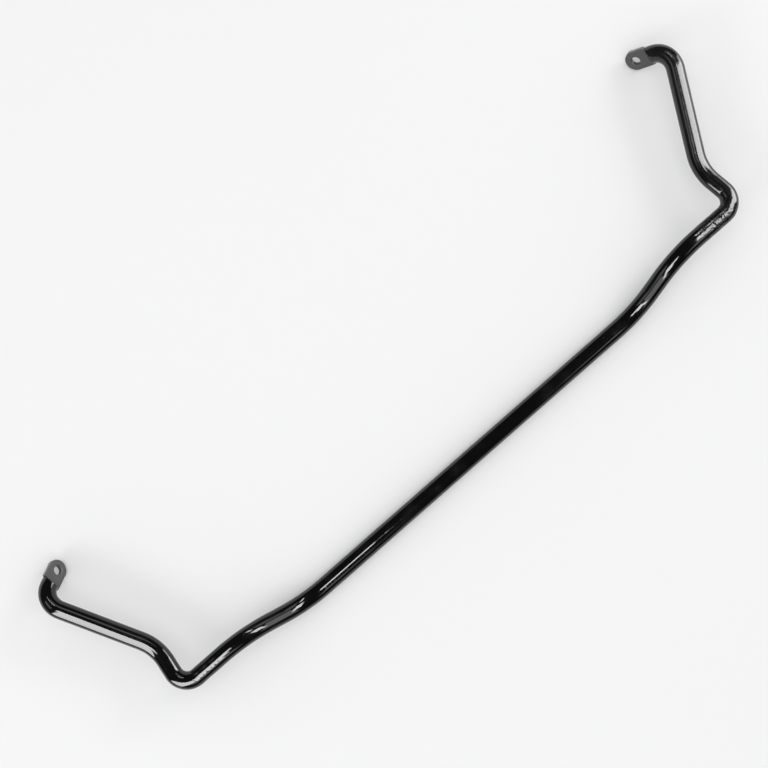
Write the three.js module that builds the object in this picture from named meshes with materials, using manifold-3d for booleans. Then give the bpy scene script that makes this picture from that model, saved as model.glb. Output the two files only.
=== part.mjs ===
// Sway bar: one length of round steel tube, bent into a wide U with an offset on each
// side of its middle, and pressed flat at both ends into a pierced eye.
//
// Millimetres and degrees. X runs along the bar from left (-X) to right (+X), Y points
// from the middle of the bar towards the ends of the arms, and Z points up from the
// surface that the bar lies on. The bar is the same on both sides of the plane X = 0.
//
// The tube is divided where its straight stretches meet its bends, so each mesh is one
// simple length of tube. A small seam gap separates neighbouring lengths.

import * as THREE from 'three';
import { mergeVertices } from 'three/addons/utils/BufferGeometryUtils.js';
import Module from 'manifold-3d';

// ---------------------------------------------------------------- driving dimensions

// Tube.
const tubeDiameter = 24;
const tubeWall = 3;

// Corners of the bent route, each measured from the one before, on the right-hand side.
const centreHalf = 293; // middle of the bar to the first corner of the offset
const offsetRun = 84; // along the bar, from the first corner of the offset to the second
const seatForward = 24; // how far the bushing seat stands towards the arms
const seatRise = 36; // how far the bushing seat stands above the centre span
const seatRun = 106; // second corner of the offset to the corner of the arm
const rootToeIn = 7.5; // root of the arm, back towards the middle of the bar
const rootReach = 64; // root of the arm, away from the bar
const rootDrop = 10; // root of the arm, downwards
const eyeSplay = 41; // bend in the arm to the eye's hole, outwards
const eyeReach = 165; // bend in the arm to the eye's hole, away from the bar

// Bend radii, measured to the middle of the tube.
const innerOffsetRadius = 142;
const outerOffsetRadius = 160;
const cornerRadius = 22;
const armBendRadius = 70;
const armEndRadius = 28;

// Flattened end, pressed until the two walls touch, with its two faces parallel.
const eyeLegAngle = 50.5; // how steeply the last leg runs down and inwards
const eyeLean = 30; // how far the eye's front edge is tipped up
const eyeFlare = 2.5; // how far the flat spreads past the tube on each side
const eyeHoleDiameter = 12;
const eyeFrontLength = 17.5; // hole to the shoulder, along the front edge
const eyeBackLength = 23.5; // hole to the shoulder, along the back edge
const eyeEdgeRound = 0.8; // rounding of the flat's edges
const shoulderLand = 0.8; // full round tube between the last bend and the shoulder
const legClearance = 0.7; // between the last bend and the flat's back corner

// Seam between neighbouring lengths, and how finely round shapes are divided.
const seamGap = 0.3;
const tubeSides = 24;
const boreSides = 16;
const degreesPerBendStep = 9;
const fewestBendSteps = 4;

// ------------------------------------------------------------------- worked-out sizes

const tubeRadius = tubeDiameter / 2;
const boreRadius = tubeRadius - tubeWall;
const eyeThickness = 2 * tubeWall;
const eyeRadius = tubeRadius + eyeFlare;
const legAngle = THREE.MathUtils.degToRad(eyeLegAngle);
const lean = THREE.MathUtils.degToRad(eyeLean);
const legStraight = eyeBackLength + legClearance; // hole to the end of the last bend

// ------------------------------------------------------------------------- materials

function paintedSteel() {
  return new THREE.MeshStandardMaterial({ color: 0x0f0f11, roughness: 0.22, metalness: 0.0 });
}

// ------------------------------------------------------------------- the bent route

// Directions of the eye: along its leg towards the tip, across its width towards its
// front edge, and out of its upper face. `side` is +1 on the right and -1 on the left.
function eyeDirections(side) {
  const across = new THREE.Vector3(0, Math.cos(lean), Math.sin(lean));
  const down = new THREE.Vector3(0, Math.sin(lean), -Math.cos(lean));
  const along = new THREE.Vector3(-side * Math.cos(legAngle), 0, 0);
  along.addScaledVector(down, Math.sin(legAngle));
  const outward = new THREE.Vector3().crossVectors(along, across).multiplyScalar(-side);
  return { along, across, outward };
}

// Height of the eye's hole above the middle of the centre span, with the eye's lowest
// edge level with the underside of the centre span, so that the bar lies flat on both.
function eyeHeight() {
  const { along, across, outward } = eyeDirections(1);
  const edgeDrop = eyeRadius * Math.hypot(along.z, across.z);
  const faceDrop = (eyeThickness / 2 - eyeEdgeRound) * Math.abs(outward.z);
  return edgeDrop + faceDrop - tubeRadius;
}

// The corner where the arm turns into the leg of the eye. It lies on the leg's line, far
// enough from the hole for the last bend and the straight leg. The bend's angle depends
// on the corner, so the corner is found in a few rounds, each closer than the last.
function armEndCorner(armBend, hole, along) {
  const rounds = 12;
  const corner = hole.clone();
  let angle = Math.PI / 2;
  for (let i = 0; i < rounds; i++) {
    const legLength = legStraight + armEndRadius * Math.tan(angle / 2);
    corner.copy(hole).addScaledVector(along, -legLength);
    angle = corner.clone().sub(armBend).angleTo(along);
  }
  return corner;
}

// The corners of one side's route, from the middle of the bar to the hole in the eye.
function routeCorners(side) {
  const steps = [
    [centreHalf, 0, 0],
    [offsetRun, seatForward, seatRise],
    [seatRun, 0, 0],
    [-rootToeIn, rootReach, -rootDrop],
  ];
  const corners = [new THREE.Vector3(0, 0, 0)];
  for (const [x, y, z] of steps) {
    corners.push(corners.at(-1).clone().add(new THREE.Vector3(side * x, y, z)));
  }
  const armBend = corners.at(-1);
  const hole = armBend.clone().add(new THREE.Vector3(side * eyeSplay, eyeReach, 0));
  hole.z = eyeHeight();
  corners.push(armEndCorner(armBend, hole, eyeDirections(side).along), hole);
  return corners;
}

// Splits a route into straights and bends. Each one holds its start, its direction and
// its length, and a bend also holds its radius, its angle and the side it turns to.
function routeStretches(corners, radii) {
  const stretches = [];
  let start = corners[0];
  radii.forEach((radius, index) => {
    const corner = corners[index + 1];
    const into = corner.clone().sub(corners[index]).normalize();
    const out = corners[index + 2].clone().sub(corner).normalize();
    const angle = into.angleTo(out);
    const tangent = radius * Math.tan(angle / 2);
    const bendStart = corner.clone().addScaledVector(into, -tangent);
    const towards = out.clone().addScaledVector(into, -out.dot(into)).normalize();
    stretches.push({ start, into, length: bendStart.distanceTo(start) });
    stretches.push({ start: bendStart, into, radius, angle, towards });
    start = corner.clone().addScaledVector(out, tangent);
  });
  const last = corners.at(-1);
  stretches.push({ start, into: last.clone().sub(start).normalize(), length: last.distanceTo(start) });
  return stretches;
}

// -------------------------------------------------------------------- lengths of tube

function ringPoints(radius, sides) {
  const points = [];
  for (let i = 0; i < sides; i++) {
    const turn = (2 * Math.PI * i) / sides;
    points.push(new THREE.Vector2(radius * Math.cos(turn), radius * Math.sin(turn)));
  }
  return points;
}

function tubeSection() {
  const section = new THREE.Shape(ringPoints(tubeRadius, tubeSides));
  section.holes.push(new THREE.Path(ringPoints(boreRadius, boreSides)));
  return section;
}

// An arc that starts at the origin along +Z and turns towards +X.
class BendCurve extends THREE.Curve {
  constructor(radius, angle) {
    super();
    this.radius = radius;
    this.angle = angle;
  }

  getPoint(t, target = new THREE.Vector3()) {
    const turn = t * this.angle;
    return target.set(this.radius * (1 - Math.cos(turn)), 0, this.radius * Math.sin(turn));
  }
}

function placeAlong(mesh, start, into, towards) {
  const sideways = new THREE.Vector3().crossVectors(into, towards);
  mesh.position.copy(start);
  mesh.quaternion.setFromRotationMatrix(new THREE.Matrix4().makeBasis(towards, sideways, into));
}

// A straight length, shorter than its stretch by the seam gap at each end.
function straightTube(name, start, into, length) {
  const geometry = new THREE.ExtrudeGeometry(tubeSection(), {
    depth: length - 2 * seamGap,
    bevelEnabled: false,
  });
  const mesh = new THREE.Mesh(geometry, paintedSteel());
  mesh.name = name;
  const up = new THREE.Vector3(0, 0, 1);
  const towards = up.addScaledVector(into, -up.dot(into)).normalize();
  placeAlong(mesh, start.clone().addScaledVector(into, seamGap), into, towards);
  return mesh;
}

function bentTube(name, bend) {
  const turn = THREE.MathUtils.radToDeg(bend.angle);
  const geometry = new THREE.ExtrudeGeometry(tubeSection(), {
    steps: Math.max(fewestBendSteps, Math.ceil(turn / degreesPerBendStep)),
    extrudePath: new BendCurve(bend.radius, bend.angle),
  });
  const mesh = new THREE.Mesh(geometry, paintedSteel());
  mesh.name = name;
  placeAlong(mesh, bend.start, bend.into, bend.towards);
  return mesh;
}

// --------------------------------------------------------------------- flattened eye
//
// The eye is made with its hole at the origin, its tip towards +X, its front edge
// towards +Y and its two faces square to Z.

const wasm = await Module();
wasm.setup();

function toSolid(geometry) {
  geometry.deleteAttribute('normal');
  geometry.deleteAttribute('uv');
  const merged = mergeVertices(geometry);
  return new wasm.Manifold(new wasm.Mesh({
    numProp: 3,
    vertProperties: Float32Array.from(merged.attributes.position.array),
    triVerts: Uint32Array.from(merged.index.array),
  }));
}

function toGeometry(solid) {
  const { vertProperties, triVerts } = solid.getMesh();
  const geometry = new THREE.BufferGeometry();
  geometry.setAttribute('position', new THREE.BufferAttribute(vertProperties, 3));
  geometry.setIndex(new THREE.BufferAttribute(triVerts, 1));
  return geometry;
}

// The flat: parallel edges, a round tip about the hole, and a slanting end at the
// shoulder that leaves a corner standing out past the tube on each side.
function eyePlate() {
  const outlineRadius = eyeRadius - eyeEdgeRound;
  const outline = new THREE.Shape();
  outline.moveTo(-eyeBackLength, -outlineRadius);
  outline.lineTo(0, -outlineRadius);
  outline.absarc(0, 0, outlineRadius, -Math.PI / 2, Math.PI / 2, false);
  outline.lineTo(-eyeFrontLength, outlineRadius);
  outline.closePath();
  const hole = ringPoints(eyeHoleDiameter / 2 + eyeEdgeRound, tubeSides);
  outline.holes.push(new THREE.Path(hole));
  const geometry = new THREE.ExtrudeGeometry(outline, {
    depth: eyeThickness - 2 * eyeEdgeRound,
    curveSegments: tubeSides / 2,
    bevelThickness: eyeEdgeRound,
    bevelSize: eyeEdgeRound,
    bevelSegments: 1,
  });
  return geometry.translate(0, 0, eyeEdgeRound - eyeThickness / 2);
}

// A round rod along X, from `from` to `to`.
function rodAlongX(radius, sides, from, to) {
  const rod = new THREE.CylinderGeometry(radius, radius, to - from, sides);
  return rod.rotateZ(Math.PI / 2).translate((from + to) / 2, 0, 0);
}

// A wedge across the whole width, closing from the tube's height at `from` to `tipHeight`
// on each side of the middle at `to`, and slanted like the shoulder.
function shoulderWedge(from, to, slope, tipHeight) {
  const back = tipHeight + (to - from) * slope;
  const profile = new THREE.Shape();
  profile.moveTo(from, -back);
  profile.lineTo(to, -tipHeight);
  profile.lineTo(to, tipHeight);
  profile.lineTo(from, back);
  profile.closePath();
  const width = 2 * tubeDiameter;
  const slant = (eyeBackLength - eyeFrontLength) / (2 * eyeRadius);
  const wedge = new THREE.ExtrudeGeometry(profile, { depth: width, bevelEnabled: false });
  wedge.translate(0, 0, -width / 2).rotateX(Math.PI / 2);
  return wedge.applyMatrix4(new THREE.Matrix4().makeShear(0, 0, slant, 0, 0, 0));
}

function eyeGeometry() {
  const legStart = seamGap - legStraight;
  const shoulder = -(eyeFrontLength + eyeBackLength) / 2;
  const halfThickness = eyeThickness / 2;
  const slope = (tubeRadius - halfThickness) / (legStraight + shoulder - shoulderLand);
  const faceSetback = tubeWall * Math.hypot(1, slope);
  const boreEnd = shoulder - (faceSetback - halfThickness) / slope;
  const boreTip = 0.05;
  const wedgeStart = -legStraight - tubeRadius;

  const rod = toSolid(rodAlongX(tubeRadius, tubeSides, legStart, 0));
  const taper = toSolid(shoulderWedge(wedgeStart, shoulder, slope, halfThickness));
  const bore = toSolid(rodAlongX(boreRadius, boreSides, legStart - tubeRadius, 0));
  const boreTaper = toSolid(shoulderWedge(wedgeStart, boreEnd, slope, boreTip));
  const neck = rod.intersect(taper);
  const hollow = bore.intersect(boreTaper);
  return toGeometry(toSolid(eyePlate()).add(neck).subtract(hollow));
}

function linkEye(name, centre, side) {
  const { along, across, outward } = eyeDirections(side);
  const mesh = new THREE.Mesh(eyeGeometry(), paintedSteel());
  mesh.name = name;
  const face = outward.clone().multiplyScalar(-side);
  mesh.position.copy(centre);
  mesh.quaternion.setFromRotationMatrix(new THREE.Matrix4().makeBasis(along, across, face));
  return mesh;
}

// --------------------------------------------------------------------------- the bar

const bendRadii = [innerOffsetRadius, outerOffsetRadius, cornerRadius, armBendRadius, armEndRadius];

// Names of one side's stretches in order, after the half of the centre span.
const sideNames = [
  'inner_offset_bend',
  'offset_ramp',
  'outer_offset_bend',
  'bushing_seat',
  'corner_bend',
  'arm_root',
  'arm_bend',
  'arm',
  'arm_end_bend',
  'link_eye',
];

function barSide(sideName, side) {
  const half = new THREE.Group();
  const corners = routeCorners(side);
  const stretches = routeStretches(corners, bendRadii).slice(1);
  stretches.forEach((stretch, index) => {
    const name = `${sideNames[index]}_${sideName}`;
    if (stretch.radius) {
      half.add(bentTube(name, stretch));
    } else if (index < stretches.length - 1) {
      half.add(straightTube(name, stretch.start, stretch.into, stretch.length));
    } else {
      half.add(linkEye(name, corners.at(-1), side));
    }
  });
  return half;
}

function centreSpan() {
  const [halfSpan] = routeStretches(routeCorners(1), bendRadii);
  const start = new THREE.Vector3(-halfSpan.length, 0, 0);
  return straightTube('centre_span', start, halfSpan.into, 2 * halfSpan.length);
}

const swayBar = new THREE.Group();
swayBar.add(centreSpan(), barSide('left', -1), barSide('right', 1));

// The origin is the middle of the bar's outline box, on the surface that it lies on.
swayBar.updateMatrixWorld(true);
const box = new THREE.Box3().setFromObject(swayBar, true);
const middle = box.getCenter(new THREE.Vector3());
swayBar.position.set(-middle.x, -middle.y, -box.min.z);
swayBar.updateMatrixWorld(true);

export default swayBar;
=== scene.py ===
"""Sway bar in gloss black enamel: one bent steel tube with a pressed, pierced eye at each end.

Metres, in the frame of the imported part. X runs along the bar, Y from its middle span
towards the ends of the arms, and Z up from the floor that the bar lies on.
"""

import sys

import logging
import math
from dataclasses import dataclass, field, replace
from enum import Enum
from typing import Any, Callable, Iterable

import bmesh
import bpy
from mathutils import Matrix, Vector, noise


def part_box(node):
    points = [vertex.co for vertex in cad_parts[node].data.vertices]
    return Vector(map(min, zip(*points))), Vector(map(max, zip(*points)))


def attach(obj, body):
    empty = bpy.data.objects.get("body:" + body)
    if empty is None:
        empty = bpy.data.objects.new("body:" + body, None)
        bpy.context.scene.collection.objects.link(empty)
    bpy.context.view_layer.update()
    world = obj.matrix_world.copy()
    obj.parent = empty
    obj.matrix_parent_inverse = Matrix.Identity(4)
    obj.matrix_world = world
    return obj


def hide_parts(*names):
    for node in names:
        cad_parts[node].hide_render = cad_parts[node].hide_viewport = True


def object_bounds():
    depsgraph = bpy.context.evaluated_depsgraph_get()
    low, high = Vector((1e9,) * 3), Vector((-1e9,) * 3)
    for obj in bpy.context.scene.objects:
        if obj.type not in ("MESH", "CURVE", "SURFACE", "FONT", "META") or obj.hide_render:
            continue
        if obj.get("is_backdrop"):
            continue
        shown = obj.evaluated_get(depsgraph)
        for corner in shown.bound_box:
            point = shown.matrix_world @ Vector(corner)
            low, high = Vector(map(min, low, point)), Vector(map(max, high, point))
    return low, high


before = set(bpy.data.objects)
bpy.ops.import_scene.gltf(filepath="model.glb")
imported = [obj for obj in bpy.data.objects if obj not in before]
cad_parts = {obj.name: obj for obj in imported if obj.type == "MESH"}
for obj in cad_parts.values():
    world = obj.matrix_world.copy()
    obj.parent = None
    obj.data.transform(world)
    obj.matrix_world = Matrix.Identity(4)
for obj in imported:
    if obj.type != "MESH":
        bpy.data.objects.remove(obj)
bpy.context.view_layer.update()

MM = 0.001
UP = Vector((0.0, 0.0, 1.0))
BODY = "root"
SHOWN = "_enamelled"
WEAR = "wear"
PRESSED = "pressed"
HAZE = "haze"
# The mark below is the eyes' edge band, which the enamel paints lighter as a painted highlight.
EDGE_HIGHLIGHT = "rim"

Colour = tuple[float, float, float]
Place = tuple[float, float, float]
Span = tuple[float, float]
Swept = tuple[list[bmesh.types.BMVert], list[bmesh.types.BMEdge], list[bmesh.types.BMEdge]]

log = logging.getLogger("sway_bar")


class Side(Enum):
    """The two mirrored halves of the bar, by the sign of their X."""

    LEFT = -1
    RIGHT = 1

    @property
    def label(self) -> str:
        """The half's name, as the nodes' names end."""
        return self.name.lower()


def blend(low: float, high: float, share: float) -> float:
    """The value `share` of the way from `low` to `high`."""
    return low + (high - low) * share


def ease(value: float) -> float:
    """A smooth step from 0 at 0 to 1 at 1."""
    held = min(1.0, max(0.0, value))
    return held * held * (3.0 - 2.0 * held)


# ---------------------------------------------------------------------------- the route


@dataclass(frozen=True)
class Stretch:
    """One straight or bent length of the tube's middle line.

    `reference` is square to `into` and turns with the tube, so that neighbouring
    lengths share the ring of points between them.
    """

    start: Vector
    into: Vector
    reference: Vector
    length: float
    radius: float = 0.0
    towards: Vector | None = None

    @property
    def angle(self) -> float:
        """How far the length turns, in radians."""
        return self.length / self.radius if self.radius else 0.0

    @property
    def hinge(self) -> Vector:
        """The axis that a bend turns about."""
        return self.into.cross(self.towards).normalized() if self.radius else self.reference

    @property
    def pivot(self) -> Vector:
        """The centre of a bend's arc."""
        return self.start + self.towards * self.radius if self.radius else self.start

    @property
    def end(self) -> Vector:
        """The middle of the last ring."""
        if not self.radius:
            return self.start + self.into * self.length
        turn = Matrix.Rotation(self.angle, 3, self.hinge)
        return self.pivot + turn @ (self.start - self.pivot)

    @property
    def last_reference(self) -> Vector:
        """The reference direction at the end of the length."""
        return Matrix.Rotation(self.angle, 3, self.hinge) @ self.reference

    def placement(self) -> Matrix:
        """The matrix that stands a ring drawn about Z at the start of the length."""
        across = self.into.cross(self.reference)
        columns = Matrix((self.reference, across, self.into)).transposed().to_4x4()
        return Matrix.Translation(self.start) @ columns

    def outward(self, point: Vector) -> Vector:
        """The direction from the middle line to a point near it.

        Args:
            point: A point on the tube's skin.

        Returns:
            The unit vector square to the middle line.
        """
        if not self.radius:
            arm = point - self.start
            return (arm - self.into * arm.dot(self.into)).normalized()
        spoke = point - self.pivot
        spoke -= self.hinge * spoke.dot(self.hinge)
        return (point - self.pivot - spoke.normalized() * self.radius).normalized()


@dataclass(frozen=True)
class Route:
    """The corners and bend radii of the bar, measured as a tube bender would set them."""

    centre_half: float = 293 * MM
    offset_run: float = 84 * MM
    seat_forward: float = 24 * MM
    seat_rise: float = 36 * MM
    seat_run: float = 106 * MM
    root_toe_in: float = 7.5 * MM
    root_reach: float = 64 * MM
    root_drop: float = 10 * MM
    eye_splay: float = 41 * MM
    eye_reach: float = 165 * MM
    radii: tuple[float, ...] = (142 * MM, 160 * MM, 22 * MM, 70 * MM, 28 * MM)
    eye_leg_angle: float = math.radians(50.5)
    eye_lean: float = math.radians(30)
    leg_straight: float = 24.2 * MM
    eye_height: float = 1.314 * MM
    corner_rounds: int = 12

    def eye_axes(self, side: Side) -> tuple[Vector, Vector]:
        """The eye's directions: towards its tip, and across it to its front edge."""
        across = Vector((0.0, math.cos(self.eye_lean), math.sin(self.eye_lean)))
        down = Vector((0.0, math.sin(self.eye_lean), -math.cos(self.eye_lean)))
        along = down * math.sin(self.eye_leg_angle)
        along.x = -side.value * math.cos(self.eye_leg_angle)
        return along, across

    def corners(self, side: Side, origin: Vector) -> list[Vector]:
        """The corners of one half, from the middle of the bar to the hole in its eye.

        Args:
            side: Which half.
            origin: The middle of the centre span.

        Returns:
            The corners in order.
        """
        steps = (
            (self.centre_half, 0.0, 0.0),
            (self.offset_run, self.seat_forward, self.seat_rise),
            (self.seat_run, 0.0, 0.0),
            (-self.root_toe_in, self.root_reach, -self.root_drop),
        )
        corners = [origin.copy()]
        for x, y, z in steps:
            corners.append(corners[-1] + Vector((side.value * x, y, z)))
        hole = corners[-1] + Vector((side.value * self.eye_splay, self.eye_reach, 0.0))
        hole.z = origin.z + self.eye_height
        along, _ = self.eye_axes(side)
        angle = math.pi / 2
        for _ in range(self.corner_rounds):
            leg = self.leg_straight + self.radii[-1] * math.tan(angle / 2)
            turn = hole - along * leg
            angle = (turn - corners[-1]).angle(along)
        return [*corners, turn, hole]

    def stretches(self, side: Side, origin: Vector) -> list[Stretch]:
        """The straights and bends of one half, the half of the centre span first."""
        corners = self.corners(side, origin)
        made: list[Stretch] = []
        start, reference = corners[0], UP.copy()
        for index, radius in enumerate(self.radii):
            corner = corners[index + 1]
            into = (corner - corners[index]).normalized()
            out = (corners[index + 2] - corner).normalized()
            angle = into.angle(out)
            tangent = radius * math.tan(angle / 2)
            bend_start = corner - into * tangent
            made.append(Stretch(start, into, reference, (bend_start - start).length))
            towards = (out - into * out.dot(into)).normalized()
            bend = Stretch(bend_start, into, reference, radius * angle, radius, towards)
            made.append(bend)
            start, reference = bend.end, bend.last_reference
        into = (corners[-1] - start).normalized()
        made.append(Stretch(start, into, reference, (corners[-1] - start).length))
        return made


# --------------------------------------------------------------------- marks in the skin


@dataclass(frozen=True)
class WornPatch:
    """A stretch of old steel under the enamel, uneven and more or less pitted."""

    middle: Vector
    uneven: float
    pitted: float
    reach: float = 42 * MM
    slope: float = 1.7

    def share(self, point: Vector) -> float:
        """How strongly the patch marks a point, from 0 to 1."""
        return ease(self.slope - self.slope * (point - self.middle).length / self.reach)


@dataclass(frozen=True)
class Skin:
    """The enamelled steel's relief and wear: ripples everywhere, pits only in the patches."""

    patches: tuple[WornPatch, ...]
    haze_start: float
    haze_run: float = 45 * MM
    haze_left: float = 0.10
    haze_right: float = 1.0
    ripple_length: float = 17 * MM
    ripple_height: float = 0.045 * MM
    dimple_length: float = 4.6 * MM
    dimple_height: float = 0.012 * MM
    pit_length: float = 3.2 * MM
    pit_depth: float = 0.36 * MM
    pit_slope: float = 1.7
    pit_margin: float = 0.05
    fine_pit_scale: float = 0.45
    fine_pit_share: float = 0.35
    scab_length: float = 7.5 * MM
    scab_height: float = 0.22 * MM

    def wear(self, point: Vector) -> float:
        """How pitted the steel is at a point, from 0 to 1."""
        return min(1.0, sum(patch.share(point) * patch.pitted for patch in self.patches))

    def uneven(self, point: Vector) -> float:
        """How uneven the steel is at a point, from 0 to 1."""
        return min(1.0, sum(patch.share(point) * patch.uneven for patch in self.patches))

    def haze(self, point: Vector) -> float:
        """How dull the enamel is at a point: only past the corners, and most on the right."""
        past = ease((abs(point.x) - self.haze_start) / self.haze_run)
        return past * (self.haze_right if point.x > 0.0 else self.haze_left)

    def height(self, point: Vector) -> float:
        """How far the skin stands above the plain round tube at a point.

        Args:
            point: A point on the plain tube.

        Returns:
            The height in metres, negative in a pit.
        """
        height = self.ripple_height * noise.noise(point / self.ripple_length)
        height += self.dimple_height * noise.noise(point / self.dimple_length)
        uneven = self.uneven(point)
        if uneven > 0.0:
            height += uneven * self.scab_height * noise.noise(point / self.scab_length)
            coarse = noise.noise(point / self.pit_length)
            fine = noise.noise(point / (self.fine_pit_scale * self.pit_length))
            pit = ease(self.pit_slope * (coarse + self.fine_pit_share * fine) - self.pit_margin)
            height -= self.wear(point) * self.pit_depth * pit
        return height


# ------------------------------------------------------------------------ shader writing


class Signal:
    """A shader socket that takes part in Python arithmetic by adding Math nodes."""

    def __init__(self, bench: "Bench", socket: bpy.types.NodeSocket) -> None:
        """Wraps a socket of a node on a bench."""
        self.bench = bench
        self.socket = socket

    def _maths(self, operation: str, *values: Any) -> "Signal":
        """A Math node on the values, in order."""
        inputs = dict(enumerate(values))
        return self.bench.node("ShaderNodeMath", {"operation": operation}, inputs)

    def __add__(self, other: Any) -> "Signal":
        """The sum."""
        return self._maths("ADD", self, other)

    def __radd__(self, other: Any) -> "Signal":
        """The sum, with the number first."""
        return self._maths("ADD", other, self)

    def __sub__(self, other: Any) -> "Signal":
        """The difference."""
        return self._maths("SUBTRACT", self, other)

    def __rsub__(self, other: Any) -> "Signal":
        """The difference, with the number first."""
        return self._maths("SUBTRACT", other, self)

    def __mul__(self, other: Any) -> "Signal":
        """The product."""
        return self._maths("MULTIPLY", self, other)

    def __rmul__(self, other: Any) -> "Signal":
        """The product, with the number first."""
        return self._maths("MULTIPLY", other, self)

    def step(self, low: float, high: float) -> "Signal":
        """A smooth step from 0 at `low` to 1 at `high`."""
        settings = {"interpolation_type": "SMOOTHSTEP"}
        inputs = {"Value": self, "From Min": low, "From Max": high}
        return self.bench.node("ShaderNodeMapRange", settings, inputs)


class Bench:
    """A material's node tree, and the one method that adds nodes to it."""

    def __init__(self, name: str) -> None:
        """Starts a material with an empty node tree."""
        self.material = bpy.data.materials.new(name)
        self.material.use_nodes = True
        self.tree = self.material.node_tree
        self.tree.nodes.clear()

    def node(
        self, kind: str, settings: dict[str, Any], inputs: dict[Any, Any], output: Any = 0
    ) -> Signal:
        """Adds a node.

        Args:
            kind: The node's type.
            settings: The node's own settings, set before its sockets.
            inputs: Values or signals by socket name or number.
            output: The name or number of the output that is wanted.

        Returns:
            That output as a signal.
        """
        made = self.tree.nodes.new(kind)
        for key, value in settings.items():
            setattr(made, key, value)
        for key, value in inputs.items():
            if isinstance(value, Signal):
                self.tree.links.new(value.socket, made.inputs[key])
            else:
                made.inputs[key].default_value = value
        return Signal(self, made.outputs[output])

    def finished(self, shader: Signal) -> bpy.types.Material:
        """Joins a shader to the material's output and gives the material."""
        output = self.tree.nodes.new("ShaderNodeOutputMaterial")
        self.tree.links.new(shader.socket, output.inputs["Surface"])
        return self.material

    def place(self) -> Signal:
        """The surface point in the bar's own frame, in metres."""
        return self.node("ShaderNodeTexCoord", {}, {}, "Object")

    def mark(self, name: str) -> Signal:
        """A mark that the mesh carries, from 0 to 1."""
        return self.node("ShaderNodeAttribute", {"attribute_name": name}, {}, "Fac")

    def cloud(self, size: float, detail: float = 2.0, rough: float = 0.5) -> Signal:
        """Soft noise with features of about `size` metres."""
        inputs = {"Vector": self.place(), "Scale": 1.0 / size}
        inputs |= {"Detail": detail, "Roughness": rough}
        return self.node("ShaderNodeTexNoise", {}, inputs)

    def cells(self, size: float) -> Signal:
        """Distance from the nearest of scattered points about `size` metres apart."""
        inputs = {"Vector": self.place(), "Scale": 1.0 / size, "Randomness": 1.0}
        return self.node("ShaderNodeTexVoronoi", {}, inputs, "Distance")

    def mix(self, share: Any, low: Any, high: Any, blend_type: str = "MIX") -> Signal:
        """A colour mixed from two, each a signal or a plain colour.

        Args:
            share: How much of `high` comes in, from 0 to 1.
            low: The first colour.
            high: The second colour.
            blend_type: How the second is laid over the first.

        Returns:
            The mixed colour.
        """
        settings = {"data_type": "RGBA", "blend_type": blend_type}
        low, high = (tone if isinstance(tone, Signal) else (*tone, 1.0) for tone in (low, high))
        factor, first, second, result = 0, 6, 7, 2
        inputs = {factor: share, first: low, second: high}
        return self.node("ShaderNodeMix", settings, inputs, result)


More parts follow.
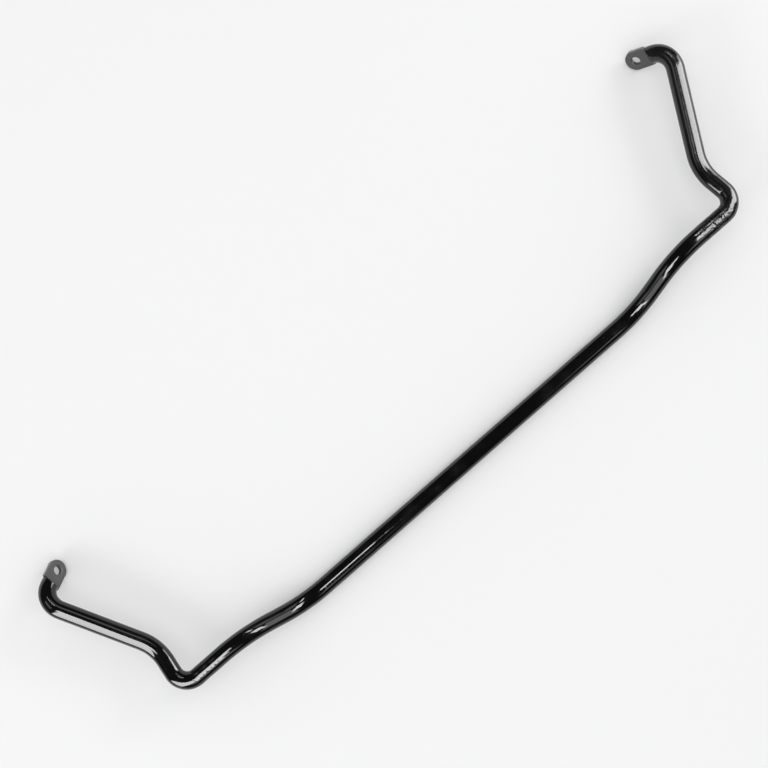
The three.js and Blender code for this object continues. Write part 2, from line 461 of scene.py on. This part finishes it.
@dataclass(frozen=True)
class Enamel:
    """Black stoving enamel: a dark gloss coat with dust, orange peel and filled pits, and a
    painted highlight on the eyes' edge bands.

    Colours are linear and sizes are in metres. An `_edge` is the pair of noise values
    between which its mark comes in. A `_mottle`, `haze_dust` and `haze_spread` are each
    a level and how far the streaks vary it.
    """

    slot: str
    black: Colour = (0.0036, 0.0036, 0.0040)
    dust: Colour = (0.040, 0.040, 0.041)
    satin: Colour = (0.054, 0.054, 0.056)
    # Painted highlight: the colour that lightens the eyes' edge bands, standing in for light
    # falling on them.
    rim: Colour = (0.34, 0.34, 0.345)
    dust_size: float = 30 * MM
    dust_edge: Span = (0.45, 0.8)
    dust_share: float = 0.18
    speck_spacing: float = 4.5 * MM
    speck_edge: Span = (0.045, 0.11)
    speck_patch_edge: Span = (0.5, 0.62)
    speck_share: float = 0.5
    speck_height: float = 0.6
    haze_dust: Span = (0.04, 0.10)
    satin_mottle: Span = (0.75, 0.5)
    rim_mottle: Span = (0.55, 0.9)
    gloss_roughness: float = 0.05
    roughness_spread: float = 0.05
    satin_roughness: float = 0.34
    haze_roughness: float = 0.13
    haze_spread: Span = (0.75, 0.5)
    pit_roughness: float = 0.22
    streak_size: float = 6 * MM
    streak_edge: Span = (0.35, 0.8)
    peel_size: float = 2.8 * MM
    peel_height: float = 0.5
    grain_size: float = 0.7 * MM
    grain_height: float = 0.12
    pressed_grain: float = 6.0
    pit_size: float = 1.5 * MM
    pit_edge: Span = (0.52, 0.68)
    pit_dust: float = 0.3
    pit_height: float = 2.4
    relief: float = 0.02 * MM
    refraction: float = 1.5

    def mottled(self, streak: Signal, mottle: Span) -> Signal:
        """A share that varies about its level with the streaks."""
        level, spread = mottle
        return level + spread * (streak - 0.5)

    def colour(self, bench: Bench, streak: Signal, speck: Signal, pit: Signal) -> Signal:
        """The enamel's colour, the lighter of its dusty gloss and its pressed faces or the painted
        highlight on the eyes' edge bands.

        Args:
            bench: The material's node tree.
            streak: Soft streaks.
            speck: Specks of dust caught in the coat.
            pit: Filled pits, where the steel is worn.

        Returns:
            The colour.
        """
        broad = bench.cloud(self.dust_size, 3.0)
        speckled = self.speck_share * speck * streak.step(*self.speck_patch_edge)
        dusty = self.dust_share * broad.step(*self.dust_edge) + speckled + self.pit_dust * pit
        haze_level, haze_streak = self.haze_dust
        dusty = dusty + bench.mark(HAZE) * (haze_level + haze_streak * streak)
        gloss = bench.mix(dusty, self.black, self.dust)
        pressed = bench.mark(PRESSED) * self.mottled(streak, self.satin_mottle)
        # Painted highlight: the eyes' edge bands are made lighter, standing in for light falling
        # on them.
        cut = bench.mark(EDGE_HIGHLIGHT) * self.mottled(streak, self.rim_mottle)
        pressed_and_edge_highlight = bench.mix(cut, bench.mix(pressed, self.black, self.satin), self.rim)
        return bench.mix(1.0, gloss, pressed_and_edge_highlight, "LIGHTEN")

    def roughness(self, bench: Bench, streak: Signal, pit: Signal) -> Signal:
        """The roughness: glossy, but duller in pits, on pressed faces and in the haze."""
        pressed_rise = self.satin_roughness - self.gloss_roughness
        gloss = self.gloss_roughness + self.roughness_spread * streak.step(*self.streak_edge)
        rough = gloss + self.pit_roughness * pit + pressed_rise * bench.mark(PRESSED)
        level, spread = self.haze_spread
        return rough + self.haze_roughness * bench.mark(HAZE) * (level + spread * streak)

    def height(self, bench: Bench, speck: Signal, pit: Signal) -> Signal:
        """The fine relief of the coat: orange peel, grain, filled pits and specks."""
        peel = bench.cloud(self.peel_size)
        grain = bench.cloud(self.grain_size, 3.0, 0.6)
        coarser = 1.0 + self.pressed_grain * bench.mark(PRESSED)
        height = self.peel_height * peel + self.grain_height * grain * coarser
        return height - self.pit_height * pit + self.speck_height * speck

    def material(self) -> bpy.types.Material:
        """Builds the enamel's node tree.

        Returns:
            The material, which reads the four marks that each mesh carries.
        """
        bench = Bench(self.slot)
        streak = bench.cloud(self.streak_size, 4.0, 0.65)
        speck = 1.0 - bench.cells(self.speck_spacing).step(*self.speck_edge)
        blotch = bench.cloud(self.pit_size, 3.0, 0.6)
        pit = bench.mark(WEAR) * blotch.step(*self.pit_edge)
        bump = {"Height": self.height(bench, speck, pit), "Distance": self.relief, "Strength": 1.0}
        coat = {
            "Base Color": self.colour(bench, streak, speck, pit),
            "Roughness": self.roughness(bench, streak, pit),
            "Normal": bench.node("ShaderNodeBump", {}, bump),
            "IOR": self.refraction,
        }
        return bench.finished(bench.node("ShaderNodeBsdfPrincipled", {}, coat))


# ------------------------------------------------------------------------- mesh and piece


def mesh_object(name: str, form: bmesh.types.BMesh) -> bpy.types.Object:
    """Turns a bmesh into an object at the origin, with its faces pointing outwards.

    Args:
        name: The object's name.
        form: The closed shape, which is freed.

    Returns:
        The object, linked to the scene.
    """
    bmesh.ops.recalc_face_normals(form, faces=form.faces[:])
    mesh = bpy.data.meshes.new(name)
    form.to_mesh(mesh)
    form.free()
    made = bpy.data.objects.new(name, mesh)
    bpy.context.scene.collection.objects.link(made)
    return made


def write_mark(mesh: bpy.types.Mesh, name: str, share: Callable[[Vector], float]) -> None:
    """Stores a share from 0 to 1 at every vertex, for the material to read."""
    mark = mesh.attributes.new(name, "FLOAT", "POINT")
    mark.data.foreach_set("value", [share(vertex.co) for vertex in mesh.vertices])


@dataclass(frozen=True)
class Tube:
    """The tube's round section, and how finely its skin is divided."""

    diameter: float
    wall: float = 3 * MM
    sides: int = 120
    fine_step: float = 0.6 * MM
    plain_step: float = 1.3 * MM
    bore_step: float = 5 * MM

    @property
    def radius(self) -> float:
        """The outer radius."""
        return self.diameter / 2

    @property
    def bore_radius(self) -> float:
        """The inner radius."""
        return self.radius - self.wall

    def sweep(
        self, form: bmesh.types.BMesh, stretch: Stretch, radius: float, step: float
    ) -> Swept:
        """Draws a ring at the start of a stretch and sweeps it to the end.

        Args:
            form: The bmesh that receives the skin.
            stretch: The straight or bend to follow.
            radius: The ring's radius.
            step: About how far apart the rings are.

        Returns:
            The skin's vertices, its first ring of edges and its last.
        """
        known = set(form.verts)
        ring = bmesh.ops.create_circle(form, segments=self.sides, radius=radius)["verts"]
        bmesh.ops.transform(form, matrix=stretch.placement(), verts=ring)
        first = list(dict.fromkeys(edge for vertex in ring for edge in vertex.link_edges))
        steps = max(2, round(stretch.length / step))
        run = Vector() if stretch.radius else stretch.into * (stretch.length / steps)
        swept = bmesh.ops.spin(
            form,
            geom=ring + first,
            cent=stretch.pivot,
            axis=stretch.hinge,
            dvec=run,
            angle=stretch.angle,
            steps=steps,
            use_merge=False,
        )
        last = [item for item in swept["geom_last"] if isinstance(item, bmesh.types.BMEdge)]
        return [vertex for vertex in form.verts if vertex not in known], first, last


def close_ends(form: bmesh.types.BMesh, *pairs: list[bmesh.types.BMEdge]) -> None:
    """Joins the skin to the bore with a flat, sharp-edged ring at each given end."""
    for edges in pairs:
        bmesh.ops.bridge_loops(form, edges=edges)
        for edge in edges:
            edge.smooth = False


@dataclass(frozen=True)
class TubeLength:
    """One straight or bent length of tube, with the relief of its skin."""

    name: str
    stretch: Stretch
    tube: Tube
    skin: Skin

    def build(self) -> bpy.types.Object:
        """Sweeps the skin and the bore, closes their ends and works the relief.

        Returns:
            The finished mesh object, with its four marks.
        """
        form = bmesh.new()
        middle = (self.stretch.start + self.stretch.end) / 2
        reach = self.stretch.length / 2
        patches = self.skin.patches
        worn = any((patch.middle - middle).length < patch.reach + reach for patch in patches)
        step = self.tube.fine_step if worn else self.tube.plain_step
        skin, skin_first, skin_last = self.tube.sweep(form, self.stretch, self.tube.radius, step)
        bore_step = self.tube.bore_step
        _, bore_first, bore_last = self.tube.sweep(
            form, self.stretch, self.tube.bore_radius, bore_step
        )
        close_ends(form, skin_first + bore_first, skin_last + bore_last)
        for face in form.faces:
            face.smooth = True
        for vertex in skin:
            vertex.co += self.stretch.outward(vertex.co) * self.skin.height(vertex.co)
        made = mesh_object(self.name, form)
        write_mark(made.data, WEAR, self.skin.wear)
        write_mark(made.data, HAZE, self.skin.haze)
        write_mark(made.data, PRESSED, lambda point: 0.0)
        write_mark(made.data, EDGE_HIGHLIGHT, lambda point: 0.0)
        return made


# ------------------------------------------------------------------------------- the eye


@dataclass(frozen=True)
class LinkEye:
    """The pressed end of an arm: neck, slanting shoulder, flat with a cut tip, and hole.

    It is made with its hole at the origin, its tip towards +X and its front edge
    towards +Y, and is then stood in its place. `press_lag` and `press_onset` say how late
    and how quickly the press takes hold along the neck, the `shoulder_` fields shape the
    small step where the flat begins, and the `gape_` fields the lens where the two walls
    of the pressed tube stand apart in the front edge.
    """

    name: str
    tube: Tube
    skin: Skin
    place: Matrix
    leg: float
    half_thickness: float = 3 * MM
    flare: float = 2.5 * MM
    front_length: float = 17.5 * MM
    back_length: float = 23.5 * MM
    hole_diameter: float = 12 * MM
    hole_chamfer: float = 0.7 * MM
    chamfer_rows: tuple[Span, ...] = ((0.55, 0.18), (0.85, 0.5), (1.0, 1.0))
    edge_round: float = 0.8 * MM
    seam_depth: float = 0.9 * MM
    gape: float = 0.0
    gape_length: float = 4 * MM
    gape_middle: float = -9 * MM
    gape_height: float = 0.30
    front_edge: float = 0.9
    neck_rows: int = 20
    flat_rows: int = 44
    bore_rows: int = 10
    bore_share: float = 0.9
    closed_bore: float = 0.12 * MM
    row: float = 1 * MM
    corner_power: float = 7.0
    press_lag: float = 0.25
    press_onset: float = 5.0
    settle_rate: float = 6.0
    shoulder_pinch: float = 0.6
    shoulder_rise: float = 0.15 * MM
    shoulder_step: float = 0.25 * MM
    mark_blur: float = 1.2 * MM
    mark_lead: float = 0.6
    rim_fall: Span = (2.2, 2.4)
    rim_blur: float = 1 * MM
    scuff: float = 0.6
    scuff_length: float = 10 * MM
    scuff_width: float = 4 * MM
    relief_share: float = 0.7
    plain_leg: float = 0.6 * MM
    plain_rim: float = 1.5
    weld: float = 0.004 * MM
    sliver: float = 0.002 * MM
    crease: float = math.radians(38)

    @property
    def half_width(self) -> float:
        """Half the width of the flat."""
        return self.tube.radius + self.flare

    @property
    def tip_rows(self) -> tuple[Span, ...]:
        """The rows over the cut tip: inset from the outline, and share of the height."""
        edge = self.edge_round
        return (
            (0.62 * edge, 0.985),
            (0.30 * edge, 0.94),
            (0.08 * edge, 0.85),
            (0.0, 0.72),
            (0.0, 0.40),
            (0.02 * edge, 0.16),
            (0.35 * self.seam_depth, 0.08),
            (self.seam_depth, 0.0),
        )

    def shoulder(self, across: float) -> float:
        """Where the flat begins, at a distance across the eye from its middle."""
        front = (across + self.half_width) / (2 * self.half_width)
        return -blend(self.back_length, self.front_length, front)

    def squeezed(self, height: float, limit: float) -> float:
        """A height on the round tube, held by the press to a limit with a soft corner."""
        share = abs(height / limit)
        return height / (1.0 + share**self.corner_power) ** (1.0 / self.corner_power)

    def neck_point(self, share: float, cosine: float, sine: float, radius: float) -> Vector:
        """A point of the neck, where the round tube is pressed down to the flat.

        Args:
            share: How far along the neck, from 0 at the bend to 1 at the shoulder.
            cosine: The point's place across the ring.
            sine: The point's place up the ring.
            radius: The ring's radius, of the skin or of the bore.

        Returns:
            The point in the eye's own frame.
        """
        wall = self.tube.radius - radius
        pressed = ease((1.0 + self.press_lag) * share - self.press_lag)
        limit = blend(self.tube.radius, self.half_thickness, pressed) - wall
        limit = max(limit, self.closed_bore)
        height = radius * sine
        height = blend(height, self.squeezed(height, limit), ease(self.press_onset * share))
        across = radius * cosine
        along = blend(-self.leg, self.shoulder(across), share)
        return Vector((along, across, height))

    def flat_point(self, share: float, cosine: float, sine: float) -> Vector:
        """A point of the flat, between the shoulder at share 0 and the tip at share 1."""
        settle = ease(self.settle_rate * share)
        pinch = self.shoulder_pinch * self.edge_round
        across = blend(self.half_width - pinch, self.half_width, settle) * cosine
        inset = self.half_width - self.edge_round
        tip = math.sqrt(max(0.0, inset * inset - across * across))
        rise = self.shoulder_rise * (1.0 - settle)
        height = self.squeezed(self.tube.radius * sine, self.half_thickness + rise)
        along = blend(self.shoulder(across) + self.shoulder_step, tip, share)
        point = Vector((along, across, height))
        if cosine > self.front_edge:
            lens = math.exp(-(((along - self.gape_middle) / self.gape_length) ** 2) * 2.0)
            slot = math.exp(-((height / (self.gape_height * self.half_thickness)) ** 2))
            point.y -= self.gape * lens * slot
        return point

    def tip_point(self, inset: float, share: float, cosine: float, sine: float) -> Vector:
        """A point of the cut tip, `inset` inside the outline, at a share of the height."""
        outline = self.half_width - self.edge_round
        turn = math.asin(max(-1.0, min(1.0, cosine * self.half_width / outline)))
        reach = self.half_width - inset
        height = self.squeezed(self.tube.radius * sine, self.half_thickness) * share
        return Vector((reach * math.cos(turn), reach * math.sin(turn), height))

    def shaped(self, row: int, point: Vector) -> Vector:
        """Moves one vertex of the plain swept tube to its place on the pressed eye.

        Args:
            row: The number of the vertex's ring, from the bend.
            point: The vertex on the plain tube about X.

        Returns:
            Its place in the eye's own frame.
        """
        cosine, sine = point.y / self.tube.radius, point.z / self.tube.radius
        if row <= self.neck_rows:
            return self.neck_point(row / self.neck_rows, cosine, sine, self.tube.radius)
        row -= self.neck_rows + 1
        if row <= self.flat_rows:
            return self.flat_point(row / self.flat_rows, cosine, sine)
        inset, share = self.tip_rows[row - self.flat_rows - 1]
        return self.tip_point(inset, share, cosine, sine)

    def pressed_share(self, point: Vector) -> float:
        """How far a point of the eye lies on the pressed flat, from 0 to 1."""
        past = point.x - self.shoulder(point.y)
        towards = ease(1.0 + past / self.scuff_length)
        scuffed = self.scuff * towards * ease(-point.y / self.scuff_width)
        return max(scuffed, ease(past / self.mark_blur + self.mark_lead))

    def rim_share(self, point: Vector) -> float:
        """How far a point of the eye lies on the flat's edge band, where the painted highlight
        goes, from 0 to 1.
        """
        level, fall = self.rim_fall
        on_edge = ease(level - fall * abs(point.z) / self.half_thickness)
        outside = ease((math.hypot(point.x, point.y) - self.hole_diameter) / self.rim_blur)
        return on_edge * outside * ease((point.x - self.shoulder(point.y)) / self.mark_blur)

    def plain_tube(self, form: bmesh.types.BMesh, radius: float, rows: int) -> Swept:
        """Sweeps a plain ring along X, one unit row at a time.

        Args:
            form: The bmesh that receives the skin.
            radius: The ring's radius.
            rows: How many rows to sweep.

        Returns:
            The vertices, the first ring of edges and the last.
        """
        x_axis, y_axis = Vector((1.0, 0.0, 0.0)), Vector((0.0, 1.0, 0.0))
        run = Stretch(Vector(), x_axis, y_axis, rows * self.row)
        return self.tube.sweep(form, run, radius, self.row)

    def blank(self) -> bmesh.types.BMesh:
        """Presses the swept tube into the eye's shape, with no hole yet."""
        form = bmesh.new()
        rows = self.neck_rows + 1 + self.flat_rows + len(self.tip_rows)
        skin, first, _ = self.plain_tube(form, self.tube.radius, rows)
        bore, bore_first, bore_last = self.plain_tube(form, self.tube.bore_radius, self.bore_rows)
        for vertex in skin:
            vertex.co = self.shaped(round(vertex.co.x / self.row), vertex.co)
        for vertex in bore:
            share = self.bore_share * vertex.co.x / (self.row * self.bore_rows)
            radius = self.tube.bore_radius
            cosine, sine = vertex.co.y / radius, vertex.co.z / radius
            vertex.co = self.neck_point(share, cosine, sine, radius)
        bmesh.ops.edgeloop_fill(form, edges=bore_last)
        close_ends(form, first + bore_first)
        bmesh.ops.remove_doubles(form, verts=form.verts[:], dist=self.weld)
        bmesh.ops.dissolve_degenerate(form, edges=form.edges[:], dist=self.sliver)
        return form

    def open_hole(self, form: bmesh.types.BMesh) -> None:
        """Clears the faces over the hole and joins its two rims by a chamfered wall.

        Args:
            form: The closed blank.
        """
        chamfer = self.hole_chamfer
        rim = self.hole_diameter / 2 + chamfer
        over = [
            face
            for face in form.faces
            if any(math.hypot(vertex.co.x, vertex.co.y) < rim for vertex in face.verts)
        ]
        bmesh.ops.delete(form, geom=over, context="FACES")
        rims = [edge for edge in form.edges if len(edge.link_faces) == 1]
        for vertex in {vertex for edge in rims for vertex in edge.verts}:
            self.set_round(vertex, rim, vertex.co.z)
        wall: list[bmesh.types.BMEdge] = []
        for face_side in (1.0, -1.0):
            ring = [edge for edge in rims if edge.verts[0].co.z * face_side > 0.0]
            for inset, drop in self.chamfer_rows:
                made = bmesh.ops.extrude_edge_only(form, edges=ring)["geom"]
                fresh = {item for item in made if isinstance(item, bmesh.types.BMVert)}
                edges = [item for item in made if isinstance(item, bmesh.types.BMEdge)]
                ring = [edge for edge in edges if fresh.issuperset(edge.verts)]
                for vertex in fresh:
                    height = face_side * (self.half_thickness - drop * chamfer)
                    self.set_round(vertex, rim - inset * chamfer, height)
            wall += ring
        bmesh.ops.bridge_loops(form, edges=wall)

    def set_round(self, vertex: bmesh.types.BMVert, radius: float, height: float) -> None:
        """Moves a vertex straight out from the hole's axis to a radius, at a height."""
        stretch = radius / math.hypot(vertex.co.x, vertex.co.y)
        vertex.co = Vector((vertex.co.x * stretch, vertex.co.y * stretch, height))

    def build(self) -> bpy.types.Object:
        """Presses the blank, opens the hole, works the relief and stands the eye in place.

        Returns:
            The finished mesh object, with its four marks.
        """
        form = self.blank()
        self.open_hole(form)
        for face in form.faces:
            face.smooth = True
        bmesh.ops.recalc_face_normals(form, faces=form.faces[:])
        self.finish(form)
        made = mesh_object(self.name, form)
        write_mark(made.data, PRESSED, self.pressed_share)
        # The edge band that carries the painted highlight.
        write_mark(made.data, EDGE_HIGHLIGHT, self.rim_share)
        made.data.transform(self.place)
        write_mark(made.data, WEAR, self.skin.wear)
        write_mark(made.data, HAZE, self.skin.haze)
        return made

    def finish(self, form: bmesh.types.BMesh) -> None:
        """Works the relief into the eye's skin and keeps its cut corners crisp."""
        form.normal_update()
        rim = self.hole_diameter / 2 + self.plain_rim * self.hole_chamfer
        moves = []
        for vertex in form.verts:
            in_leg = vertex.co.x < self.plain_leg - self.leg
            if in_leg or math.hypot(vertex.co.x, vertex.co.y) < rim:
                continue
            height = self.relief_share * self.skin.height(self.place @ vertex.co)
            moves.append((vertex, vertex.normal * height))
        for vertex, move in moves:
            vertex.co += move
        for edge in form.edges:
            if len(edge.link_faces) == 2 and edge.calc_face_angle(0.0) > self.crease:
                edge.smooth = False


# ------------------------------------------------------------------------ sub-assemblies


@dataclass
class PaintShop:
    """The bar's enamels by slot."""

    finishes: tuple[Enamel, ...] = (
        Enamel("bar_enamel"),
        Enamel("seat_enamel"),
        Enamel("eye_enamel"),
    )
    tins: dict[str, bpy.types.Material] = field(default_factory=dict)

    def mix(self) -> None:
        """Builds each enamel once."""
        self.tins = {finish.slot: finish.material() for finish in self.finishes}

    def dress(self, piece: bpy.types.Object, slot: str) -> None:
        """Coats a piece and fixes it to the bar in place of the node of the same name.

        Args:
            piece: The finished mesh object.
            slot: The record's slot for its finish.
        """
        node = piece.name.removesuffix(SHOWN)
        piece.data.materials.append(self.tins[slot])
        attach(piece, BODY)
        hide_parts(node)
        log.info("%s: %d faces, %s", piece.name, len(piece.data.polygons), slot)


SIDE_LENGTHS = (
    ("inner_offset_bend", "bar_enamel"),
    ("offset_ramp", "bar_enamel"),
    ("outer_offset_bend", "bar_enamel"),
    ("bushing_seat", "seat_enamel"),
    ("corner_bend", "seat_enamel"),
    ("arm_root", "bar_enamel"),
    ("arm_bend", "bar_enamel"),
    ("arm", "bar_enamel"),
    ("arm_end_bend", "bar_enamel"),
)


@dataclass(frozen=True)
class CentreSpan:
    """The straight middle of the bar."""

    route: Route
    tube: Tube
    skin: Skin
    origin: Vector

    def build(self, shop: PaintShop) -> None:
        """Makes the span from bend to bend and coats it."""
        half = self.route.stretches(Side.RIGHT, self.origin)[0]
        start = half.start - half.into * half.length
        whole = Stretch(start, half.into, half.reference, 2 * half.length)
        piece = TubeLength("centre_span" + SHOWN, whole, self.tube, self.skin).build()
        shop.dress(piece, "bar_enamel")


@dataclass(frozen=True)
class BarHalf:
    """One side of the bar: the offset, the bushing seat, the corner, the arm and its eye."""

    side: Side
    route: Route
    tube: Tube
    skin: Skin
    origin: Vector
    gape: float

    def build(self, shop: PaintShop) -> None:
        """Makes the side's lengths of tube in order, then its eye, and coats them."""
        stretches = self.route.stretches(self.side, self.origin)[1:]
        for (node, slot), stretch in zip(SIDE_LENGTHS, stretches):
            name = f"{node}_{self.side.label}{SHOWN}"
            shop.dress(TubeLength(name, stretch, self.tube, self.skin).build(), slot)
        shop.dress(self.eye().build(), "eye_enamel")

    def eye(self) -> LinkEye:
        """The side's eye, standing at the end of the route."""
        along, across = self.route.eye_axes(self.side)
        hole = self.route.corners(self.side, self.origin)[-1]
        axes = Matrix((along, across, along.cross(across))).transposed().to_4x4()
        name = f"link_eye_{self.side.label}{SHOWN}"
        place = Matrix.Translation(hole) @ axes
        leg = self.route.leg_straight
        return LinkEye(name, self.tube, self.skin, place, leg, gape=self.gape)


# ------------------------------------------------------------------------------ the studio


class Falls(Enum):
    """What a light is there for: to be mirrored in the enamel, or to light the floor."""

    GLOSS = "gloss"
    SHADE = "shade"


@dataclass(frozen=True)
class Softbox:
    """A rectangular soft light that faces a point, both measured from the bar's middle.

    `turn` spins it about the line to that point, in degrees.
    """

    name: str
    falls: Falls
    place: Place
    target: Place
    size: Span
    radiance: float
    turn: float = 0.0

    def hang(self, origin: Vector) -> None:
        """Puts the light in the scene, `origin` being the middle of the bar."""
        light = bpy.data.lights.new(self.name, "AREA")
        light.shape, light.size, light.size_y = "RECTANGLE", *self.size
        light.energy = self.radiance * math.pi * light.size * light.size_y
        made = bpy.data.objects.new(self.name, light)
        made.visible_diffuse = self.falls is Falls.SHADE
        made.visible_glossy = self.falls is Falls.GLOSS
        aim = (Vector(self.target) - Vector(self.place)).to_track_quat("-Z", "Y")
        spin = Matrix.Rotation(math.radians(self.turn), 4, "Z")
        hung = Matrix.Translation(origin + Vector(self.place))
        made.matrix_world = hung @ aim.to_matrix().to_4x4() @ spin
        bpy.context.scene.collection.objects.link(made)


def card(name: str, across: Span, ahead: Span, height: float, radiance: float) -> Softbox:
    """A level card above the bar that only its enamel mirrors, by its limits in X and Y."""
    x, y = sum(across) / 2, sum(ahead) / 2
    size = (across[1] - across[0], ahead[1] - ahead[0])
    return Softbox(name, Falls.GLOSS, (x, y, height), (x, y, 0.0), size, radiance)


def softbox_pair(box: Softbox) -> tuple[Softbox, ...]:
    """A softbox on the right, with its mirror image across the middle of the bar."""
    made = []
    for side in Side:
        flip = side.value
        place = (flip * box.place[0], *box.place[1:])
        target = (flip * box.target[0], *box.target[1:])
        name = f"{box.name}_{side.label}"
        made.append(replace(box, name=name, place=place, target=target, turn=flip * box.turn))
    return tuple(made)


LOW = Softbox("low", Falls.GLOSS, (1.5, -0.28, 1.03), (0.17, -0.28, 0.0), (0.75, 1.45), 12.0)
PANEL = Softbox(
    "panel", Falls.GLOSS, (2.78, -2.6, 4.0), (2.78, -2.6, 0.0), (3.0, 5.6), 2.3, turn=-16.0
)
EDGE = Softbox("edge_right", Falls.GLOSS, (2.4, -0.3, 0.5), (0.5, -0.3, 0.0), (1.6, 1.0), 6.0)
FILL = Softbox("side", Falls.SHADE, (3.4, 0.1, 1.9), (0.3, 0.0, 0.0), (1.0, 1.0), 6.0)
OVERHEAD = Softbox("overhead", Falls.SHADE, (0.0, 0.4, 4.0), (0.0, 0.0, 0.0), (3.0, 3.0), 0.55)


@dataclass(frozen=True)
class Studio:
    """A plain pale floor, soft lights, cards for the enamel to mirror, and a camera overhead."""

    origin: Vector
    floor_size: float = 40.0
    floor_tone: Colour = (0.80, 0.80, 0.805)
    floor_shade: float = 0.985
    floor_cloud: float = 0.9
    floor_roughness: float = 0.9
    floor_shine: float = 0.1
    surround: float = 0.95
    lights: tuple[Softbox, ...] = (
        card("high_left", (-2.0, -0.78), (-0.6, 0.75), 6.0, 15.0),
        card("high_left_front", (-2.0, -1.3), (-2.4, -0.6), 6.0, 15.0),
        card("seat_left", (-2.5, -2.0), (-4.5, 0.75), 6.0, 15.0),
        card("high_right", (1.42, 2.5), (-2.4, 0.75), 6.0, 15.0),
        card("seat_right", (2.0, 2.5), (-3.4, -2.4), 6.0, 13.0),
        card("seat_right_back", (1.95, 2.45), (3.4, 7.0), 6.0, 13.0),
        card("panel_left_back", (-3.9, -1.9), (1.4, 4.2), 4.0, 1.5),
        card("panel_right_back", (1.9, 3.9), (1.4, 4.2), 4.0, 1.5),
        *softbox_pair(LOW),
        *softbox_pair(PANEL),
        EDGE,
        *softbox_pair(FILL),
        OVERHEAD,
    )
    camera_shift: Span = (-0.67 * MM, 0.67 * MM)
    camera_place: Place = (3.6 * MM, 149.8 * MM, 1672.5 * MM)
    camera_roll: float = math.radians(41.33)
    camera_tilt: float = 0.0145
    focal_length: float = 58.59
    sensor_width: float = 36.0

    def lay_floor(self) -> None:
        """Lays the floor, which isn't part of the bar."""
        form = bmesh.new()
        bmesh.ops.create_grid(form, x_segments=2, y_segments=2, size=self.floor_size / 2)
        made = mesh_object("floor", form)
        bench = Bench("floor_paper")
        tone = bench.cloud(self.floor_cloud, 1.0)
        dim = tuple(self.floor_shade * share for share in self.floor_tone)
        colour = bench.mix(tone, self.floor_tone, dim)
        inputs = {"Base Color": colour, "Roughness": self.floor_roughness}
        inputs["Specular IOR Level"] = self.floor_shine
        paper = bench.finished(bench.node("ShaderNodeBsdfPrincipled", {}, inputs))
        made.data.materials.append(paper)
        made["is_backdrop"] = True

    def light(self) -> None:
        """Hangs the lights and sets the pale surround, which the enamel doesn't mirror."""
        world = bpy.data.worlds.new("surround")
        world.use_nodes = True
        backdrop = world.node_tree.nodes["Background"]
        backdrop.inputs["Color"].default_value = (1.0, 1.0, 1.0, 1.0)
        backdrop.inputs["Strength"].default_value = self.surround
        world.cycles_visibility.glossy = False
        bpy.context.scene.world = world
        bpy.context.scene.view_settings.view_transform = "Standard"
        for softbox in self.lights:
            softbox.hang(self.origin)

    def set_camera(self) -> None:
        """Sets the camera overhead, looking down and turned about its own axis."""
        back = Vector((math.sin(self.camera_tilt), 0.0, math.cos(self.camera_tilt)))
        level = Vector((1.0, 0.0, 0.0))
        level = (level - back * level.dot(back)).normalized()
        ahead = back.cross(level)
        cosine, sine = math.cos(self.camera_roll), math.sin(self.camera_roll)
        right = level * cosine - ahead * sine
        above = level * sine + ahead * cosine
        lens = bpy.data.cameras.new("camera")
        lens.lens, lens.sensor_width = self.focal_length, self.sensor_width
        camera = bpy.data.objects.new("camera", lens)
        place = self.origin + Vector(self.camera_place)
        place += right * self.camera_shift[0] + above * self.camera_shift[1]
        columns = Matrix((right, above, back)).transposed().to_4x4()
        camera.matrix_world = Matrix.Translation(place) @ columns
        bpy.context.scene.collection.objects.link(camera)
        bpy.context.scene.camera = camera

    def build(self) -> None:
        """Sets the floor, the lights and the camera."""
        self.lay_floor()
        self.light()
        self.set_camera()


# -------------------------------------------------------------------------------- the job


def write_sizes() -> None:
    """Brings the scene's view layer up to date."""
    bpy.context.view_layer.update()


@dataclass(frozen=True)
class SideFacts:
    """What differs between the two sides: the wear about the seat and the eye's open seam."""

    uneven: float
    pitted: float
    gape: float


SIDE_FACTS = {
    Side.LEFT: SideFacts(uneven=0.6, pitted=0.05, gape=0.0),
    Side.RIGHT: SideFacts(uneven=1.0, pitted=1.0, gape=0.9 * MM),
}
PATCH_PLACE = 0.25


def worn_patch(side: Side) -> WornPatch:
    """The worn patch of one side, a quarter of the way from its seat to its corner."""
    seat, corner = (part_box(f"{node}_{side.label}") for node in ("bushing_seat", "corner_bend"))
    seat_middle, corner_middle = sum(seat, Vector()) / 2, sum(corner, Vector()) / 2
    middle = seat_middle.lerp(corner_middle, PATCH_PLACE)
    return WornPatch(middle, SIDE_FACTS[side].uneven, SIDE_FACTS[side].pitted)


def main() -> None:
    """Builds the bar's sub-assemblies in order, sets the studio and reports each piece."""
    logging.basicConfig(level=logging.INFO, format="%(name)s: %(message)s", stream=sys.stdout)
    low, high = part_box("centre_span")
    origin, tube, route = (low + high) / 2, Tube(diameter=high.z - low.z), Route()
    haze_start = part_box("corner_bend_right")[0].x
    skin = Skin(tuple(worn_patch(side) for side in Side), haze_start)
    shop = PaintShop()
    shop.mix()
    CentreSpan(route, tube, skin, origin).build(shop)
    for side in Side:
        BarHalf(side, route, tube, skin, origin, SIDE_FACTS[side].gape).build(shop)
    Studio(origin).build()
    write_sizes()
    low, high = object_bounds()
    size = (high - low) / MM
    log.info("bar: %.1f x %.1f x %.1f mm, %d nodes", *size, len(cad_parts))


if __name__ == "__main__":
    main()
